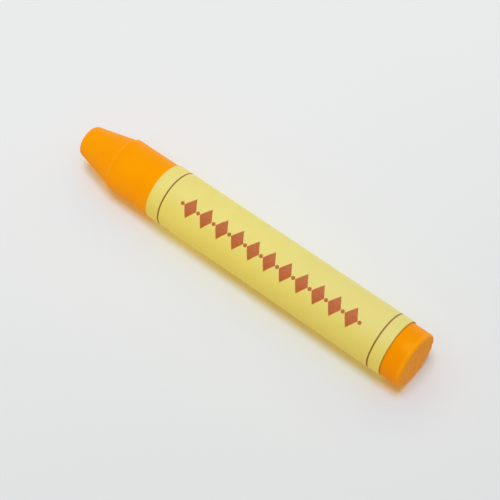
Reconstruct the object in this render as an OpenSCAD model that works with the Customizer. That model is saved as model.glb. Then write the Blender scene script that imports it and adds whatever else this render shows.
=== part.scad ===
// Beeswax crayon: a cast wax stick in a rolled and glued paper wrapper.
// It stands on its flat rear face at z = 0, with its nose pointing up along +Z.

/* [Wax stick] */
// Overall length, from the flat rear face to the blunt tip
stick_length = 85; // [70:0.5:110]
// Diameter of the straight barrel
barrel_diameter = 11.9; // [10:0.1:14]
// Length of the tapered nose in front of the shoulder
nose_length = 9.9; // [8:0.1:14]
// Width of the shoulder between the barrel and the foot of the nose
shoulder_step = 0.25; // [0.2:0.05:0.5]
// Diameter of the blunt tip, measured before its edge is rounded
tip_diameter = 6.8; // [5:0.1:8]
// Radius of the rounded edge of the tip
tip_rounding = 0.6; // [0.3:0.1:1]
// Radius of the softened edge of the shoulder
shoulder_rounding = 0.15; // [0.05:0.05:0.15]
// Radius of the softened rim of the rear face
rim_rounding = 0.6; // [0.2:0.1:1]

/* [Paper wrapper] */
// Thickness of the sheet
paper_thickness = 0.125; // [0.08:0.005:0.2]
// Turns that the sheet makes round the barrel
turns = 2; // [2:1:3]
// Bare barrel left behind the wrapper
rear_bare = 4.6; // [2:0.1:8]
// Bare barrel left between the wrapper and the shoulder
front_bare = 11.1; // [4:0.1:14]
// Direction of the sheet's first edge, at the start of the innermost turn, in degrees from +X
seam_angle = 115; // [0:1:359]
// How far before its first edge the sheet starts to climb over it, in degrees
climb_angle = 8; // [5:1:12]

/* [Hidden] */
$fn = 128;

barrel_r = barrel_diameter / 2;
tip_r = tip_diameter / 2;
nose_foot_r = barrel_r - shoulder_step;
shoulder_z = stick_length - nose_length;
// The nose's taper, as the angle between its side and the stick's axis
nose_taper = atan((nose_foot_r - tip_r) / nose_length);
// The tip's edge is an arc tangent to the end face and to the tapered side
tip_arc_r = tip_r - tip_rounding * (1 - sin(nose_taper)) / cos(nose_taper);
tip_arc_z = stick_length - tip_rounding;

wrapper_z = rear_bare;
wrapper_length = shoulder_z - front_bare - rear_bare;
wrapper_r = barrel_r + turns * paper_thickness;

// The point at radius r and angle a round the stick
function at(r, a) = [r * cos(a), r * sin(a)];

// Half of the stick's lengthwise section: its radius across, its length up
module stick_half_section() {
    polygon([
        [0, 0],
        [barrel_r - rim_rounding, 0],
        [barrel_r, rim_rounding],
        [barrel_r, shoulder_z - shoulder_rounding],
        [barrel_r - shoulder_rounding, shoulder_z],
        [nose_foot_r, shoulder_z],
        [tip_arc_r + tip_rounding * cos(nose_taper), tip_arc_z + tip_rounding * sin(nose_taper)],
        [tip_arc_r, stick_length],
        [0, stick_length]
    ]);
    translate([barrel_r - rim_rounding, rim_rounding]) circle(r = rim_rounding);
    translate([barrel_r - shoulder_rounding, shoulder_z - shoulder_rounding]) circle(r = shoulder_rounding);
    translate([tip_arc_r, tip_arc_z]) circle(r = tip_rounding);
}

// The cast stick: barrel, shoulder and blunt nose in one piece
module wax_stick() {
    color([0.98, 0.62, 0.02])
        rotate_extrude()
            stick_half_section();
}

// The straight slope on which the sheet climbs from radius r by its own thickness.
// The line is drawn too long: by run_in before its foot and by run_out past its top.
function slope(r, run_in, run_out) =
    let (foot = at(r, seam_angle - climb_angle))
    let (top = at(r + paper_thickness, seam_angle))
    [foot - run_in * (top - foot), top + run_out * (top - foot)];

// The wedge of air under the sheet where it climbs over its own first edge
module gap_at_first_edge() {
    polygon(concat(slope(barrel_r, 0.5, 0), [at(barrel_r - paper_thickness, seam_angle)]));
}

// The step down at the sheet's glued last edge, which stops at the foot of the climb
module step_at_last_edge() {
    polygon(concat(
        slope(wrapper_r - paper_thickness, 0, 0.5),
        [at(2 * wrapper_r, seam_angle), at(2 * wrapper_r, seam_angle - climb_angle)]
    ));
}

// The rolled sheet seen along the stick: whole turns between its two edges, each resting on the last
module wrapper_section() {
    difference() {
        circle(r = wrapper_r);
        circle(r = barrel_r);
        gap_at_first_edge();
        step_at_last_edge();
    }
}

// The wrapper: one sheet, rolled tight on the barrel and glued along its last edge
module paper_wrapper() {
    color([0.9, 0.83, 0.43])
        translate([0, 0, wrapper_z])
            linear_extrude(height = wrapper_length)
                wrapper_section();
}

wax_stick();
paper_wrapper();
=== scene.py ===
"""Looks of the beeswax crayon: a cast wax stick in a rolled paper wrapper.

The crayon stands on its rear face, nose up along +Z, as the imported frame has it. In the photograph it
lies on a table, so the camera keeps the photograph's place beside the crayon, and the table of the
photograph is a pale plane that touches the crayon's side. Lengths are in millimetres until a mesh or
the camera is made, which is in metres. Angles are in degrees, and colours are linear.
"""

import math

import bpy
import numpy as np
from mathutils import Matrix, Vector, noise

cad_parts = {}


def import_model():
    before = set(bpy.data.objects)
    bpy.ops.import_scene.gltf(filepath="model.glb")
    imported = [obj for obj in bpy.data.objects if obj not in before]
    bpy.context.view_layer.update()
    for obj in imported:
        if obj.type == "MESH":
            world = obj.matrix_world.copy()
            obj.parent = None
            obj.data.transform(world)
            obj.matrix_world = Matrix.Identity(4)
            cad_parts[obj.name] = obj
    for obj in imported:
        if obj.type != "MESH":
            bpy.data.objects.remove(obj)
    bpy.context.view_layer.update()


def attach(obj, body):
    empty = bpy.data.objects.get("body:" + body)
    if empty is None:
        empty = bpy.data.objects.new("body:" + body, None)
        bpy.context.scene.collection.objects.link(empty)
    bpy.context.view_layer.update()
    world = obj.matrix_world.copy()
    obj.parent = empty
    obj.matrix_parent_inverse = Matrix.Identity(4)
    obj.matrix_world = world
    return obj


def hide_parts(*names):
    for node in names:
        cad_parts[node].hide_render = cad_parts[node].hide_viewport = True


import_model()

MM = 0.001

# Wax stick, as in part.scad
STICK_LENGTH = 85.0
BARREL_R = 5.95
NOSE_FOOT_R = 5.70
SHOULDER_Z = 75.1
TIP_R = 3.4
TIP_ROUNDING = 0.6
SHOULDER_ROUNDING = 0.15
RIM_ROUNDING = 0.6

# Paper wrapper, as in part.scad
PAPER = 0.125
WRAPPER_R = 6.2
WRAPPER_BOTTOM, WRAPPER_TOP = 4.6, 64.0
SEAM_ANGLE = 115.0
CLIMB_ANGLE = 8.0

# Fineness of the meshes
STICK_AROUND = 192
RIM_POINTS, SHOULDER_POINTS, TIP_POINTS = 7, 5, 9
OUTLINE_STEP = 0.5
CLIMB_POINTS, TURN_POINTS, SIDE_POINTS = 8, 190, 100
FOLD_ANGLE = 35.0

# Unevenness of the casting, as (depth, size, seed) of two noises, which fades towards the axis
CAST_WEAR = ((0.018, 7.0, 1), (0.006, 1.6, 2))
CAST_WEAR_R = 1.5
# Roughness of the flat rear face, as (depth, size, seed), which fades towards its rim. What lies wholly
# under the last height is of the rear face's own wax
REAR_WEAR = (0.02, 0.9, 3)
REAR_WEAR_R = 5.5
REAR_FLAT_Z, REAR_FACE_Z = 1e-6, 0.06
# The knocked spot on the rear rim, outside the radius given last
KNOCK_ANGLE = 53.5
KNOCK_DEPTH, KNOCK_WIDTH, KNOCK_HEIGHT = 0.32, 0.55, 0.45
KNOCK_INNER_R = 5.0
# How far apart the noises of different seeds are taken
SEED_SHIFT = (17.3, 5.9, 11.1)

# The paper's air over the wax, the waver of its cut ends, and the groove between its two layers
PAPER_AIR = 0.004
WAVER_DEPTH, WAVER_RATE = 0.05, 1.3
WAVER_BOTTOM, WAVER_TOP = Vector((3, 1, 4)), Vector((9, 2, 6))
GROOVE_DEPTH, GROOVE_IN, GROOVE_OUT = 0.09, 0.025, 0.02
EDGE_ROUNDING, EDGE_SHARE = 0.02, 0.3
# The angle that parts the two sides of the step at the seam, and that to the next point after the foot
SEAM_PART, SEAM_STEP = 0.05, 1

# Print on the wrapper, placed along the line that faces the camera
PRINT_ANGLE = -72.5
RING_LINES = (7.37, 60.73)
RING_WIDTH = 0.345
BAND_START, BAND_END = 12.0, 56.6
LOZENGES = 11
LOZENGE_HALF_LENGTH, LOZENGE_HALF_WIDTH = 1.55, 2.35
DOT_RADIUS = 0.42
# The band's shapes are kept this many dot radii past its ends, so that the end dots are whole
BAND_MARGIN = 1.2
# Soft edge of the ink, how far it wavers, and the rings' share of that
INK_SOFT = 0.04
INK_WAVER, RING_WAVER = 0.05, 0.5

# Camera, fitted to the photograph
CAMERA_PLACE = (92.81, -294.913, -75.197)
CAMERA_TURN = (123.8889, 50.7789, 45.0)
CAMERA_LENS, CAMERA_SENSOR = 117.99, 36.0
CAMERA_CLIP = (0.01, 10.0)

# The photograph's table touches the crayon's side, and its normal points along azimuth 45. Across it, the
# camera's side is positive
TABLE_NORMAL = Vector((math.sqrt(0.5), -math.sqrt(0.5), 0.0))
TABLE_ACROSS = Vector((-math.sqrt(0.5), -math.sqrt(0.5), 0.0))
# The way across the table that runs down the photograph, over which a painted shade makes the table darker
TABLE_DOWN = (-0.42, -0.42, -0.80)
TABLE_DARKENS = (-115.0, 70.0)
STAGE_HALF = 1500.0
FLOOR_Z = -0.05

# Light of the world by height above the table, as (sine of the height, level), and the level that the
# colour ramp's white stands for
WORLD_LIGHT = (
    (-1.0, 0.90),
    (-0.7, 0.95),
    (-0.5, 1.33),
    (-0.05, 1.33),
    (0.1, 0.25),
    (0.6, 0.35),
    (0.9, 0.85),
)
WORLD_PEAK = 1.6
# Colour of the light that comes off the table on the camera's side, and the sines over which it comes in
# across the table and below it
BOUNCE = (1.08, 0.92, 0.56, 1.0)
BOUNCE_ACROSS, BOUNCE_BELOW = (-0.1, 0.5), (0.1, -0.1)
# Level of what glossy reflections see, from the camera's side to high on the other side of the table
GLOSSY_AXIS = TABLE_NORMAL * 0.5 - TABLE_ACROSS * 0.87
GLOSSY_TURN = (-0.3, 0.9)
GLOSSY_NEAR, GLOSSY_FAR = 0.05, 2.10

# A soft lamp nearly straight above the table, leaning a little to the camera's side
LAMP_DIRECTION = TABLE_NORMAL + TABLE_ACROSS * 0.09 + Vector((0, 0, 0.02))
LAMP_SPREAD = 24.0
LAMP_SHARE = 0.46

# Colours of the wax, the paper, the ink and the stage
WHITE = (1.0, 1.0, 1.0, 1.0)
WAX = (0.955, 0.340, 0.001, 1.0)
WAX_DEEP = (0.935, 0.320, 0.001, 1.0)
# Painted shade: the wax darkens towards the rear end
WAX_REAR_SHADE = (0.86, 0.277, 0.001, 1.0)
WAX_SHEEN = (1.0, 0.55, 0.0, 1.0)
# Painted highlight on the shoulder's edge, the rim's ridge and a spot on the rear end
WAX_PAINTED_HIGHLIGHT = (0.97, 0.415, 0.020, 1.0)
# Painted shadow in the corner under the paper's rear edge
WAX_CORNER_SHADOW = (0.50, 0.190, 0.004, 1.0)
WAX_END = (0.83, 0.305, 0.010, 1.0)
WAX_END_DARK = (0.66, 0.250, 0.022, 1.0)
SHEET = (0.810, 0.699, 0.172, 1.0)
SHEET_DEEP = (0.790, 0.671, 0.156, 1.0)
# Painted shade: the paper darkens towards the rear end
SHEET_REAR_SHADE = (0.747, 0.643, 0.171, 1.0)
INK = (0.455, 0.072, 0.008, 1.0)
RING_INK = (0.225, 0.062, 0.001, 1.0)
STAGE_PALE = (0.815, 0.825, 0.828, 1.0)
STAGE_DEEP = (0.712, 0.733, 0.735, 1.0)
BACKDROP_PALE = (0.80, 0.80, 0.80, 1.0)
FLOOR_PALE = (0.84, 0.88, 0.96, 1.0)

# In the materials below, a noise is (scale per millimetre, detail, roughness), a span is the values between
# which a tone changes, and a fade is (value at which it starts, value at which it is full, its share there).
# A bump is (depth in millimetres, strength)

# Painted sheen and painted shade: the crayon is a little paler on the side toward the lamp, and deeper on
# the side away from it
LIT_SIDE = (math.cos(math.radians(-25.0)), math.sin(math.radians(-25.0)), 0.0)
LIT_SIDE_SPAN = (0.25 * WRAPPER_R, 0.9 * WRAPPER_R)
PAINTED_SHEEN_TINT = (1.0, 1.02, 1.18)
PAINTED_SHADE_TINT = (0.99, 0.985, 0.86)

# Wax
CLOUD_NOISE, CLOUD_SPAN = (0.16, 3.0), (0.35, 0.75)
GRAIN_NOISE, GRAIN_SPAN = (2.2, 4.0, 0.6), (0.2, 0.8)
PATCH_NOISE, PATCH_SPAN, PATCH_SHARES = (1.1, 2.0), (0.3, 0.6), (0.45, 0.9)
# Painted shade of the wax towards the rear end, fuller on the side away from the lamp
WAX_SHADE_SPAN = (20.0, 5.0)
SHADED_SIDE_SPAN, SHADED_SIDE_SHARES = (0.95 * BARREL_R, 0.5 * BARREL_R), (0.5, 1.0)
# Painted highlights on the shoulder's edge and on the rim's ridge
SHOULDER_HIGHLIGHT_FADE = (0.40, 0.05, 0.6)
RIDGE_HIGHLIGHT_FADE = (0.55, 0.0, 0.4)
# Painted shadow in the wax under the paper's rear edge
CORNER_Z, CORNER_SHADOW_FADE = WRAPPER_BOTTOM - 0.1, (0.26, 0.06, 0.75)
RIM_FADE = (0.50, 0.05, 0.7)
# A small painted highlight spot on the bare rear end
HIGHLIGHT_SPOT_PLACE, HIGHLIGHT_SPOT_FADE = (3.06, -5.10, 1.7), (1.9, 0.2, 0.28)
WAX_ROUGHNESS = (0.46, 0.58)
WAX_SPECULAR = 0.08
WAX_BUMP = (0.02, 0.5)

# Wax of the rear face
END_CLOUD_NOISE, END_CLOUD_FADE = (0.5, 2.0), (0.35, 0.65, 0.6)
SPECKLE_NOISE, SPECKLE_FADE, SPECKLE_SPAN = (3.4, 3.0, 0.6), (0.48, 0.60, 0.8), (0.3, 0.7)
END_ROUGHNESS = (0.62, 0.8)
END_BUMP = (0.06, 0.6)

# Paper, whose fibres are longer along the crayon, and its ink
PAPER_CLOUD_NOISE, PAPER_CLOUD_SPAN = (0.22, 3.0), (0.3, 0.7)
FIBRE_NOISE, FIBRE_SQUASH, FIBRE_FADE = (3.2, 5.0, 0.65), (1.0, 1.0, 0.3), (0.35, 0.75, 0.35)
INK_NOISE = (4.0, 2.0)
# Painted shade of the paper towards the rear end
PAPER_SHADE_SPAN = (50.0, 5.0)
COVER_SPAN, COVER_SHARES = (0.25, 0.6), (1.0, 0.9)
FIBRE_SPAN, PAPER_ROUGHNESS, INK_SMOOTHS = (0.25, 0.75), (0.66, 0.78), 0.12
PAPER_SPECULAR = 0.45
PAPER_BUMP = (0.015, 0.6)

# The crayon's underside gets more light than on the real table, so the table takes up less of its glow, in
# a patch whose middle lies this far to the camera's side, from full near it to none far off. Along the
# crayon the middle runs from this height to the shoulder. The tint turns from the paper's to the wax's over
# this distance either side of the wrapper's end
PAPER_GLOW_TINT = (0.925, 0.938, 0.985, 1.0)
WAX_GLOW_TINT = (0.885, 0.968, 1.012, 1.0)
GLOW_SIDE, GLOW_NEAR, GLOW_FAR = 4.0, 3.0, 20.0
GLOW_REAR = 6.0
GLOW_TURN = 4
# Right beside the crayon its colour fills the shadow more than the table's plain grey shows. The strips
# follow the crayon's edge on the camera's side, which runs straight at a distance and slopes in beside the
# nose. Each has the heights over which it comes and goes, the distances on either side of that edge at
# which it starts and is full, and its tint
EDGE_SIDE, EDGE_SLOPE, EDGE_REACH = 3.6, -0.30, 26.5
STRIPS = (
    # The bare rear end
    ((-1.0, 0.8), (3.5, 6.5), (3.0, 0.4), (1.20, 1.04, 0.46)),
    # The wrapper, the darker shadow at its middle, and its front end
    ((3.5, 6.5), (48.0, 56.0), (3.0, 0.4), (1.20, 0.96, 0.50)),
    ((20.0, 28.0), (42.0, 50.0), (1.6, 0.2), (0.91, 0.92, 0.98)),
    ((48.0, 56.0), (60.0, 66.0), (3.0, 0.4), (1.29, 1.06, 0.56)),
    # The bare barrel
    ((62.0, 66.0), (75.0, 77.0), (2.6, 0.4), (1.18, 1.02, 0.48)),
    # The nose, and the light that passes under it
    ((75.0, 77.0), (85.0, 88.0), (2.6, 0.5), (1.02, 0.95, 0.68)),
    ((75.5, 78.0), (83.5, 86.0), (1.6, 0.2), (1.30, 1.27, 1.10)),
)


def smooth_noise(points, size, seed):
    """Perlin noise in -1..1 at each point, with features of about this size."""
    shift = Vector([seed * step for step in SEED_SHIFT])
    return np.array([noise.noise(Vector(p) / size + shift) for p in points])


def arc(centre, radius, start, end, count):
    """Points of an arc in (radius, height), from one angle to the other."""
    angles = np.radians(np.linspace(start, end, count))
    return [(centre[0] + radius * math.cos(a), centre[1] + radius * math.sin(a)) for a in angles]


def line(start, end, step):
    """Points between two points of an outline, both left out, about one step apart."""
    start, end = np.array(start), np.array(end)
    count = max(1, int(round(np.linalg.norm(end - start) / step)))
    return [tuple(start + (end - start) * i / count) for i in range(1, count)]


def join(*parts):
    """An outline of arcs, with the straight runs between them filled in."""
    points = list(parts[0])
    for part in parts[1:]:
        points += line(points[-1], part[0], OUTLINE_STEP)
        points += part
    return points


def mesh_object(name, points, faces):
    """A smooth-shaded object from points in millimetres, with its folds kept sharp."""
    mesh = bpy.data.meshes.new(name)
    mesh.from_pydata([tuple(p) for p in np.asarray(points) * MM], [], faces)
    mesh.polygons.foreach_set("use_smooth", [True] * len(mesh.polygons))
    mesh.set_sharp_from_angle(angle=math.radians(FOLD_ANGLE))
    mesh.update()
    made = bpy.data.objects.new(name, mesh)
    bpy.context.scene.collection.objects.link(made)
    return made


def rings_to_faces(rings, around, closed):
    """Quads between neighbouring rings, and between the last and the first if the outline is closed."""
    faces = []
    for i in range(rings if closed else rings - 1):
        a, b = i * around, (i + 1) % rings * around
        for j in range(around):
            k = (j + 1) % around
            faces.append((a + j, a + k, b + k, b + j))
    return faces


# Materials


class Nodes:
    """Short ways to add nodes to a material or world."""

    def __init__(self, owner):
        owner.use_nodes = True
        self.tree = owner.node_tree
        self.tree.nodes.clear()

    def add(self, kind, inputs=(), **settings):
        made = self.tree.nodes.new(kind)
        for key, value in settings.items():
            setattr(made, key, value)
        for key, value in dict(inputs).items():
            self.put(value, made.inputs[key])
        return made

    def put(self, value, socket):
        if isinstance(value, bpy.types.NodeSocket):
            self.tree.links.new(value, socket)
        else:
            socket.default_value = value

    def math(self, operation, *values):
        return self.add("ShaderNodeMath", enumerate(values), operation=operation).outputs[0]

    def product(self, *values):
        """All the values multiplied together, two at a time."""
        total = values[0]
        for value in values[1:]:
            total = self.math("MULTIPLY", total, value)
        return total

    def distance(self, value, place):
        return self.math("ABSOLUTE", self.math("SUBTRACT", value, place))

    def dot(self, vector, axis):
        made = self.add("ShaderNodeVectorMath", {0: vector, 1: axis}, operation="DOT_PRODUCT")
        return made.outputs["Value"]

    def ramp(self, value, low, high, to_low=0.0, to_high=1.0):
        """The value turned smoothly from one span into another, and held level outside it."""
        inputs = {"Value": value, "From Min": low, "From Max": high, "To Min": to_low, "To Max": to_high}
        made = self.add("ShaderNodeMapRange", inputs, interpolation_type="SMOOTHSTEP")
        return made.outputs["Result"]

    def fade(self, value, start, full, share=1.0):
        """From nothing where the value is at the start to this share where it is full."""
        return self.ramp(value, start, full, 0.0, share)

    def times(self, colour, tint):
        return self.add("ShaderNodeVectorMath", {0: colour, 1: tint}, operation="MULTIPLY").outputs[0]

    def mix(self, share, a, b):
        made = self.add("ShaderNodeMix", data_type="RGBA")
        for key, value in zip((0, 6, 7), (share, a, b)):
            self.put(value, made.inputs[key])
        return made.outputs[2]

    def noise(self, where, scale, detail, roughness=0.5):
        inputs = {"Vector": where, "Scale": scale, "Detail": detail, "Roughness": roughness}
        return self.add("ShaderNodeTexNoise", inputs).outputs["Fac"]

    def place(self):
        """The point on the object in millimetres, as a vector and as x, y and z."""
        coords = self.add("ShaderNodeTexCoord")
        inputs = {0: coords.outputs["Object"], "Scale": 1 / MM}
        scaled = self.add("ShaderNodeVectorMath", inputs, operation="SCALE").outputs[0]
        parts = self.add("ShaderNodeSeparateXYZ", {0: scaled}).outputs
        return scaled, parts[0], parts[1], parts[2]

    def bump(self, height, distance, strength):
        inputs = {"Height": height, "Distance": distance * MM, "Strength": strength}
        return self.add("ShaderNodeBump", inputs).outputs[0]

    def surface(self, **sockets):
        inputs = {key.replace("_", " "): value for key, value in sockets.items()}
        shader = self.add("ShaderNodeBsdfPrincipled", inputs)
        self.add("ShaderNodeOutputMaterial", {"Surface": shader.outputs[0]})


def wax_material():
    """Cast beeswax: nearly even orange, slightly cloudy, with a low soft sheen."""
    material = bpy.data.materials.new("cast_wax")
    n = Nodes(material)
    where, _, _, z = n.place()
    cloud = n.noise(where, *CLOUD_NOISE)
    grain = n.noise(where, *GRAIN_NOISE)
    colour = n.mix(n.ramp(cloud, *CLOUD_SPAN), WAX, WAX_DEEP)
    # Painted shade: darker towards the rear end, and more so on the side away from the lamp
    shaded_side = n.ramp(n.dot(where, LIT_SIDE), *SHADED_SIDE_SPAN, *SHADED_SIDE_SHARES)
    colour = n.mix(n.product(n.ramp(z, *WAX_SHADE_SPAN), shaded_side), colour, WAX_REAR_SHADE)
    # Painted highlights make the shoulder's edge, the rim's ridge and a small spot paler, and a painted
    # shadow makes the corner under the paper's rear edge darker
    patchy = n.ramp(n.noise(where, *PATCH_NOISE), *PATCH_SPAN, *PATCH_SHARES)
    shoulder = n.fade(n.distance(z, SHOULDER_Z), *SHOULDER_HIGHLIGHT_FADE)
    ridge_highlight = n.fade(n.distance(z, RIM_ROUNDING), *RIDGE_HIGHLIGHT_FADE)
    colour = n.mix(n.product(n.math("MAXIMUM", shoulder, ridge_highlight), patchy), colour, WAX_PAINTED_HIGHLIGHT)
    away = n.add("ShaderNodeVectorMath", {0: where, 1: HIGHLIGHT_SPOT_PLACE}, operation="DISTANCE").outputs["Value"]
    colour = n.mix(n.fade(away, *HIGHLIGHT_SPOT_FADE), colour, WAX_PAINTED_HIGHLIGHT)
    colour = n.mix(n.fade(n.distance(z, CORNER_Z), *CORNER_SHADOW_FADE), colour, WAX_CORNER_SHADOW)
    colour = n.mix(n.fade(z, *RIM_FADE), colour, WAX_END)
    n.surface(
        Base_Color=colour,
        Roughness=n.ramp(grain, *GRAIN_SPAN, *WAX_ROUGHNESS),
        Normal=n.bump(grain, *WAX_BUMP),
        Specular_IOR_Level=WAX_SPECULAR,
        Specular_Tint=WAX_SHEEN,
    )
    return material


def wax_end_material():
    """The rear face, where the cast stick was cut and scraped: matte, greyer and speckled."""
    material = bpy.data.materials.new("scraped_wax")
    n = Nodes(material)
    where, _, _, _ = n.place()
    cloud = n.noise(where, *END_CLOUD_NOISE)
    speckle = n.noise(where, *SPECKLE_NOISE)
    colour = n.mix(n.fade(cloud, *END_CLOUD_FADE), WAX_END, WAX_END_DARK)
    colour = n.mix(n.fade(speckle, *SPECKLE_FADE), colour, WAX_END_DARK)
    n.surface(
        Base_Color=colour,
        Roughness=n.ramp(speckle, *SPECKLE_SPAN, *END_ROUGHNESS),
        Normal=n.bump(speckle, *END_BUMP),
        Specular_IOR_Level=WAX_SPECULAR,
    )
    return material


def print_mask(n, where, x, y, z):
    """Ink cover from 0 to 1 for the band of lozenges and dots, and for the two ring lines."""
    turn = math.radians(PRINT_ANGLE)
    cos, sin = math.cos(turn), math.sin(turn)
    ahead = n.math("ADD", n.product(x, cos), n.product(y, sin))
    aside = n.math("SUBTRACT", n.product(y, cos), n.product(x, sin))
    across = n.product(n.math("ARCTAN2", aside, ahead), WRAPPER_R)
    waver = n.math("MULTIPLY_ADD", n.noise(where, *INK_NOISE), 2 * INK_WAVER, -INK_WAVER)
    pitch = (BAND_END - BAND_START) / LOZENGES
    along = n.distance(n.math("MODULO", n.math("SUBTRACT", z, BAND_START), pitch), pitch / 2)
    side = n.math("ABSOLUTE", across)
    # Distance from a lozenge's slanted side, in millimetres
    reach = math.hypot(1 / LOZENGE_HALF_LENGTH, 1 / LOZENGE_HALF_WIDTH)
    lengthways = n.math("DIVIDE", along, LOZENGE_HALF_LENGTH)
    sideways = n.math("DIVIDE", side, LOZENGE_HALF_WIDTH)
    slant = n.math("ADD", lengthways, sideways)
    lozenge = n.math("DIVIDE", n.math("SUBTRACT", slant, 1.0), reach)
    # Distance from the edge of the dot between two lozenges
    gap = n.math("SUBTRACT", pitch / 2, along)
    away = n.math("SQRT", n.math("ADD", n.product(gap, gap), n.product(side, side)))
    dot = n.math("SUBTRACT", away, DOT_RADIUS)
    shape = n.math("ADD", n.math("MINIMUM", lozenge, dot), waver)
    middle, half = (BAND_START + BAND_END) / 2, (BAND_END - BAND_START) / 2
    inside = n.math("LESS_THAN", n.distance(z, middle), half + BAND_MARGIN * DOT_RADIUS)
    band = n.product(n.fade(shape, INK_SOFT, -INK_SOFT), inside)
    rings = []
    for height in RING_LINES:
        off = n.math("ADD", n.distance(z, height), n.product(waver, RING_WAVER))
        rings.append(n.fade(off, RING_WIDTH / 2 + INK_SOFT, RING_WIDTH / 2 - INK_SOFT))
    return band, n.math("MAXIMUM", *rings)


def paper_material():
    """Pale yellow uncoated paper with short fibres, printed in red-brown."""
    material = bpy.data.materials.new("printed_paper")
    n = Nodes(material)
    where, x, y, z = n.place()
    cloud = n.noise(where, *PAPER_CLOUD_NOISE)
    fibre = n.noise(n.times(where, FIBRE_SQUASH), *FIBRE_NOISE)
    band, rings = print_mask(n, where, x, y, z)
    colour = n.mix(n.ramp(cloud, *PAPER_CLOUD_SPAN), SHEET, SHEET_DEEP)
    colour = n.mix(n.fade(fibre, *FIBRE_FADE), colour, SHEET_DEEP)
    # Painted shade: the paper darkens towards the rear end
    colour = n.mix(n.ramp(z, *PAPER_SHADE_SPAN), colour, SHEET_REAR_SHADE)
    # Painted sheen on the side toward the lamp and painted shade on the side away from it
    lit_share = n.ramp(n.dot(where, LIT_SIDE), *LIT_SIDE_SPAN)
    colour = n.mix(lit_share, n.times(colour, PAINTED_SHADE_TINT), n.times(colour, PAINTED_SHEEN_TINT))
    cover = n.ramp(fibre, *COVER_SPAN, *COVER_SHARES)
    colour = n.mix(n.product(band, cover), colour, INK)
    colour = n.mix(n.product(rings, cover), colour, RING_INK)
    smoother = n.product(n.math("MAXIMUM", band, rings), INK_SMOOTHS)
    n.surface(
        Base_Color=colour,
        Roughness=n.math("SUBTRACT", n.ramp(fibre, *FIBRE_SPAN, *PAPER_ROUGHNESS), smoother),
        Normal=n.bump(fibre, *PAPER_BUMP),
        Specular_IOR_Level=PAPER_SPECULAR,
    )
    return material


# Pieces


def wax_outline():
    """The stick's half section in (radius, height), from the rear face's middle to the tip's."""
    taper = math.atan((NOSE_FOOT_R - TIP_R) / (STICK_LENGTH - SHOULDER_Z))
    tip_r = TIP_R - TIP_ROUNDING * (1 - math.sin(taper)) / math.cos(taper)
    rim = arc((BARREL_R - RIM_ROUNDING, RIM_ROUNDING), RIM_ROUNDING, -90, 0, RIM_POINTS)
    shoulder_centre = (BARREL_R - SHOULDER_ROUNDING, SHOULDER_Z - SHOULDER_ROUNDING)
    shoulder = arc(shoulder_centre, SHOULDER_ROUNDING, 0, 90, SHOULDER_POINTS)
    foot = [(NOSE_FOOT_R, SHOULDER_Z)]
    tip_centre = (tip_r, STICK_LENGTH - TIP_ROUNDING)
    tip = arc(tip_centre, TIP_ROUNDING, math.degrees(taper), 90, TIP_POINTS)
    return join([(0.0, 0.0)], rim, shoulder, foot, tip, [(0.0, STICK_LENGTH)])


def worn_points(points, radius, angle):
    """The turned stick's points, moved in for the casting's unevenness, the knock and the rear face."""
    worn = sum(depth * (1 + smooth_noise(points, size, seed)) for depth, size, seed in CAST_WEAR)
    worn = worn * np.clip(radius / CAST_WEAR_R, 0, 1)
    turn = (angle - math.radians(KNOCK_ANGLE) + math.pi) % (2 * math.pi) - math.pi
    aside, up = turn * BARREL_R / KNOCK_WIDTH, points[:, 2] / KNOCK_HEIGHT
    knock = KNOCK_DEPTH * np.exp(-(aside**2) - up**2) * (radius > KNOCK_INNER_R)
    points[:, :2] *= (1 - (worn + knock) / np.maximum(radius, 1.0))[:, None]
    rear = points[:, 2] < REAR_FLAT_Z
    depth, size, seed = REAR_WEAR
    rough = depth * (1 + smooth_noise(points[rear], size, seed))
    points[rear, 2] += rough * np.clip(REAR_WEAR_R - radius[rear], 0, 1)
    return points


def wax_stick():
    """The cast stick, with the slight unevenness of its mould and its knocked rear rim."""
    outline = wax_outline()
    around = STICK_AROUND
    angles = np.arange(around) * 2 * math.pi / around
    height = np.array([p[1] for p in outline[1:-1]])
    r, a = np.meshgrid([p[0] for p in outline[1:-1]], angles, indexing="ij")
    h = np.repeat(height[:, None], around, 1)
    points = np.stack([r * np.cos(a), r * np.sin(a), h], -1).reshape(-1, 3)
    points = worn_points(points, r.ravel(), a.ravel())
    points = np.vstack([points, [0, 0, 0], [0, 0, STICK_LENGTH]])
    rings = len(height)
    faces = rings_to_faces(rings, around, False)
    low, high, last = rings * around, rings * around + 1, (rings - 1) * around
    faces += [(low, (j + 1) % around, j) for j in range(around)]
    faces += [(high, last + j, last + (j + 1) % around) for j in range(around)]
    made = mesh_object("crayon_stick", points, faces)
    made.data.materials.append(wax_material())
    made.data.materials.append(wax_end_material())
    for polygon in made.data.polygons:
        if max(made.data.vertices[v].co.z for v in polygon.vertices) < REAR_FACE_Z * MM:
            polygon.material_index = 1
    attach(made, "root")
    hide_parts("wax_stick")


def wrapper_radius(angle):
    """Outer radius at an angle: whole turns, then the last edge and the climb over the first."""
    foot = SEAM_ANGLE - CLIMB_ANGLE
    share = (angle - foot) / CLIMB_ANGLE
    if 0 <= share < 1:
        return WRAPPER_R - PAPER * (1 - share)
    return WRAPPER_R


def wrapper_end(r_in, r_out, z, up):
    """One cut end in (radius, height), from the inside out: two layers with a fine groove between."""
    between = r_in + PAPER
    return [
        (r_in, z),
        (between - GROOVE_IN, z),
        (between, z - up * GROOVE_DEPTH),
        (between + GROOVE_OUT, z),
        (r_out - EDGE_ROUNDING, z),
        (r_out - EDGE_ROUNDING * EDGE_SHARE, z - up * EDGE_ROUNDING * EDGE_SHARE),
        (r_out, z - up * EDGE_ROUNDING),
    ]


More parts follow.
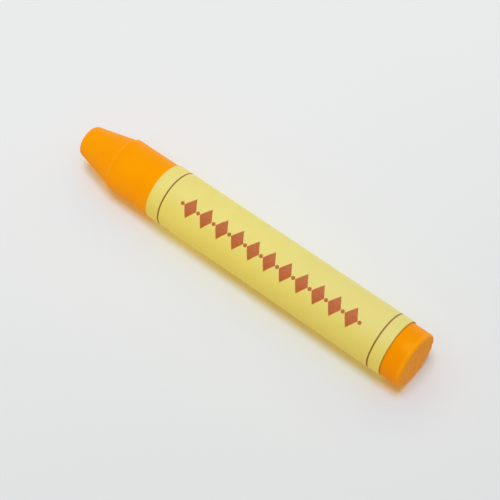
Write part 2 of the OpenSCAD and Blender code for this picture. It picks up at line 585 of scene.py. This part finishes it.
def paper_wrapper():
    """The rolled sheet, with its thickness, its overlapping edge and slightly wavering cut ends."""
    foot = SEAM_ANGLE - CLIMB_ANGLE
    angles = [foot + SEAM_PART] + list(np.linspace(foot + SEAM_STEP, SEAM_ANGLE, CLIMB_POINTS))
    angles += list(np.linspace(SEAM_ANGLE, foot + 360 - SEAM_PART, TURN_POINTS)[1:])
    r_in = BARREL_R + PAPER_AIR
    columns = []
    for angle in angles:
        r_out = wrapper_radius(angle)
        turn = math.radians(angle)
        ahead = Vector((math.cos(turn), math.sin(turn), 0.0)) * WAVER_RATE
        low = WRAPPER_BOTTOM + WAVER_DEPTH * noise.noise(ahead + WAVER_BOTTOM)
        high = WRAPPER_TOP + WAVER_DEPTH * noise.noise(ahead + WAVER_TOP)
        bottom = wrapper_end(r_in, r_out, low, -1)
        top = wrapper_end(r_in, r_out, high, 1)
        side = [(r_out, low + (high - low) * t) for t in np.linspace(0, 1, SIDE_POINTS)[1:-1]]
        outline = bottom + side + top[::-1]
        columns.append([(r * math.cos(turn), r * math.sin(turn), z) for r, z in outline])
    points = np.array(columns).transpose(1, 0, 2).reshape(-1, 3)
    made = mesh_object("wrapper", points, rings_to_faces(len(columns[0]), len(angles), True))
    made.data.materials.append(paper_material())
    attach(made, "root")
    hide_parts("paper_wrapper")


# Stage


def table_colour(n):
    """Pale grey, a little darker down the photograph, cooler beside the crayon and warm against it."""
    where, _, _, z = n.place()
    # Painted shade: the table darkens along TABLE_DOWN
    colour = n.mix(n.ramp(n.dot(where, TABLE_DOWN), *TABLE_DARKENS), STAGE_PALE, STAGE_DEEP)
    across = n.dot(where, TABLE_ACROSS)
    beside = n.add("ShaderNodeClamp", {"Value": z, "Min": GLOW_REAR, "Max": SHOULDER_Z}).outputs[0]
    past = n.math("SUBTRACT", z, beside)
    side = n.math("SUBTRACT", across, GLOW_SIDE)
    away = n.math("SQRT", n.math("MULTIPLY_ADD", side, side, n.product(past, past)))
    bare = n.ramp(z, WRAPPER_TOP - GLOW_TURN, WRAPPER_TOP + GLOW_TURN)
    glow = n.times(colour, n.mix(bare, PAPER_GLOW_TINT, WAX_GLOW_TINT))
    colour = n.mix(n.fade(away, GLOW_FAR, GLOW_NEAR), colour, glow)
    edge = n.math("MINIMUM", n.math("MULTIPLY_ADD", z, EDGE_SLOPE, EDGE_REACH), EDGE_SIDE)
    side = n.distance(across, edge)
    for (start, full), (wane, end), (far, near), tint in STRIPS:
        share = n.product(n.fade(z, start, full), n.fade(z, end, wane), n.fade(side, far, near))
        colour = n.mix(share, colour, n.times(colour, tint))
    return colour


def stage_material(name, colour_of):
    """A matte pale surface that the camera sees only from its front."""
    material = bpy.data.materials.new(name)
    n = Nodes(material)
    matte = n.add("ShaderNodeBsdfDiffuse", {"Color": colour_of(n)}).outputs[0]
    clear = n.add("ShaderNodeBsdfTransparent").outputs[0]
    behind = n.add("ShaderNodeNewGeometry").outputs["Backfacing"]
    mixed = n.add("ShaderNodeMixShader", {0: behind, 1: matte, 2: clear}).outputs[0]
    n.add("ShaderNodeOutputMaterial", {"Surface": mixed})
    return material


def stage_plane(name, centre, normal, material):
    """A large square that takes the object's shadow and throws no light or shadow on the object."""
    across = normal.orthogonal().normalized()
    up = normal.cross(across)
    signs = ((-1, -1), (1, -1), (1, 1), (-1, 1))
    corners = [centre + (across * i + up * j) * STAGE_HALF for i, j in signs]
    made = mesh_object(name, corners, [(0, 1, 2, 3)])
    made.data.materials.append(material)
    made.visible_diffuse = False
    made.visible_glossy = False
    made.visible_transmission = False
    made.visible_shadow = False


def stage():
    """The photograph's table along the crayon's side, and a floor under its rear face."""
    table = stage_material("table_pale", table_colour)
    floor = stage_material("floor_pale", lambda n: FLOOR_PALE)
    stage_plane("table", TABLE_NORMAL * -WRAPPER_R, TABLE_NORMAL, table)
    stage_plane("floor", Vector((0, 0, FLOOR_Z)), Vector((0, 0, 1)), floor)


def world():
    """Soft light from all round: even above the photograph's table, with its bounce from below."""
    made = bpy.data.worlds.new("studio")
    bpy.context.scene.world = made
    n = Nodes(made)
    direction = n.add("ShaderNodeTexCoord").outputs["Generated"]
    height = n.dot(direction, TABLE_NORMAL)
    ramp = n.add("ShaderNodeValToRGB", {0: n.math("MULTIPLY_ADD", height, 0.5, 0.5)})
    ramp.color_ramp.interpolation = "EASE"
    while len(ramp.color_ramp.elements) < len(WORLD_LIGHT):
        ramp.color_ramp.elements.new(0.5)
    for element, (place, level) in zip(ramp.color_ramp.elements, WORLD_LIGHT):
        element.position = (place + 1) / 2
        element.color = [level / WORLD_PEAK] * 3 + [1.0]
    near = n.ramp(n.dot(direction, TABLE_ACROSS), *BOUNCE_ACROSS)
    below = n.ramp(height, *BOUNCE_BELOW)
    colour = n.times(ramp.outputs[0], n.mix(n.product(near, below), WHITE, BOUNCE))
    shine = n.ramp(n.dot(direction, GLOSSY_AXIS), *GLOSSY_TURN, GLOSSY_NEAR, GLOSSY_FAR)
    light = n.add("ShaderNodeBackground", {"Color": colour, "Strength": WORLD_PEAK}).outputs[0]
    glossy = n.add("ShaderNodeBackground", {"Strength": shine}).outputs[0]
    pale = n.add("ShaderNodeBackground", {"Color": BACKDROP_PALE, "Strength": 1.0}).outputs[0]
    path = n.add("ShaderNodeLightPath").outputs
    mixed = n.add("ShaderNodeMixShader", {0: path["Is Glossy Ray"], 1: light, 2: glossy}).outputs[0]
    mixed = n.add("ShaderNodeMixShader", {0: path["Is Camera Ray"], 1: mixed, 2: pale}).outputs[0]
    n.add("ShaderNodeOutputWorld", {"Surface": mixed})


def lamp(name, direction, spread, share):
    """A distant soft lamp, this many degrees wide, which adds this share of a plain white light."""
    data = bpy.data.lights.new(name, "SUN")
    data.angle = math.radians(spread)
    data.energy = share * math.pi
    made = bpy.data.objects.new(name, data)
    bpy.context.scene.collection.objects.link(made)
    made.location = direction.normalized()
    made.rotation_mode = "QUATERNION"
    made.rotation_quaternion = direction.to_track_quat("Z", "Y")


def camera():
    """The photograph's camera, in its place beside the crayon."""
    data = bpy.data.cameras.new("photo_camera")
    data.lens = CAMERA_LENS
    data.sensor_width = CAMERA_SENSOR
    data.clip_start, data.clip_end = CAMERA_CLIP
    made = bpy.data.objects.new("photo_camera", data)
    bpy.context.scene.collection.objects.link(made)
    made.location = Vector(CAMERA_PLACE) * MM
    made.rotation_euler = [math.radians(a) for a in CAMERA_TURN]
    bpy.context.scene.camera = made


bpy.context.scene.view_settings.view_transform = "Standard"
camera()
stage()
world()
lamp("overhead", LAMP_DIRECTION, LAMP_SPREAD, LAMP_SHARE)
wax_stick()
paper_wrapper()
